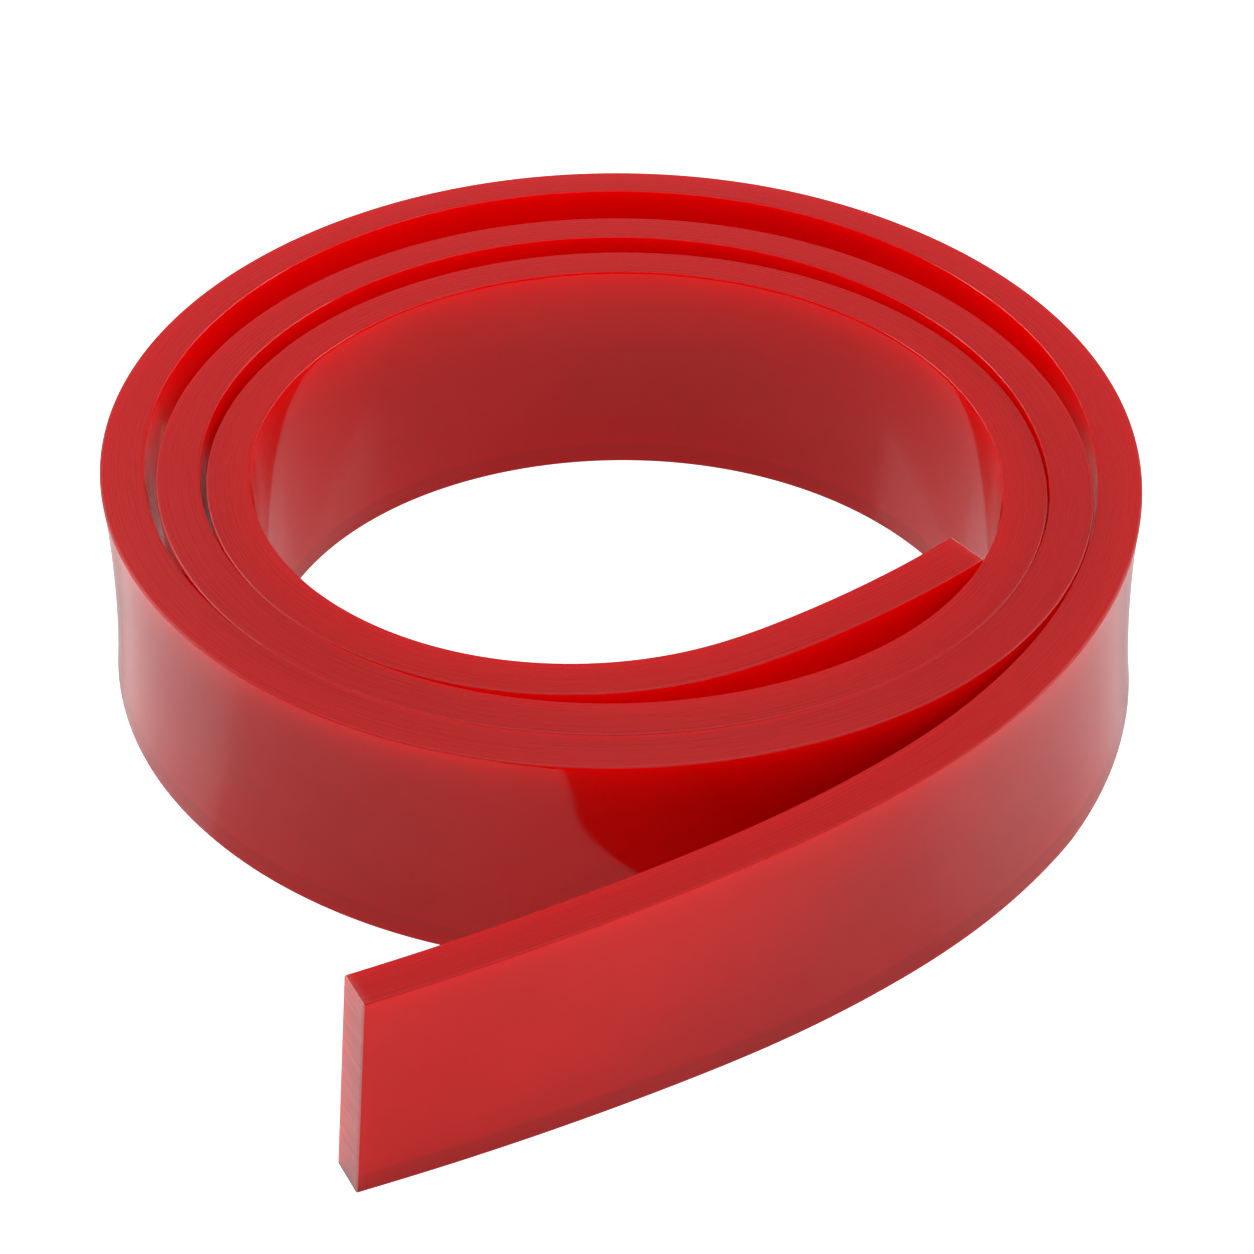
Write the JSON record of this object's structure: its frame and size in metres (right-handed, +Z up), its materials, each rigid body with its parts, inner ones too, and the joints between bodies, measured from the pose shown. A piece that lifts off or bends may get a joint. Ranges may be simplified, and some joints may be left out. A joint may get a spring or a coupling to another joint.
{
  "type": "squeegee blade",
  "caption": "Red polyurethane squeegee blade: a strip of rectangular section, wound in a loose open coil that stands on its cut edge, with a free tail.",
  "frame": {"origin": "middle of the bounding box's foot, on the floor plane that the coil stands on", "axes": "+Z up across the strip's height, +Y away from the free tail towards the back of the coil, +X to the right with the tail in front"},
  "size_m": [0.2126, 0.2796, 0.05],
  "materials": {
    "polyurethane": "glossy moulded faces, satin cut edges, slightly see-through"
  },
  "bodies": {
    "root": {"blade_strip": "polyurethane"}
  },
  "joints": []
}
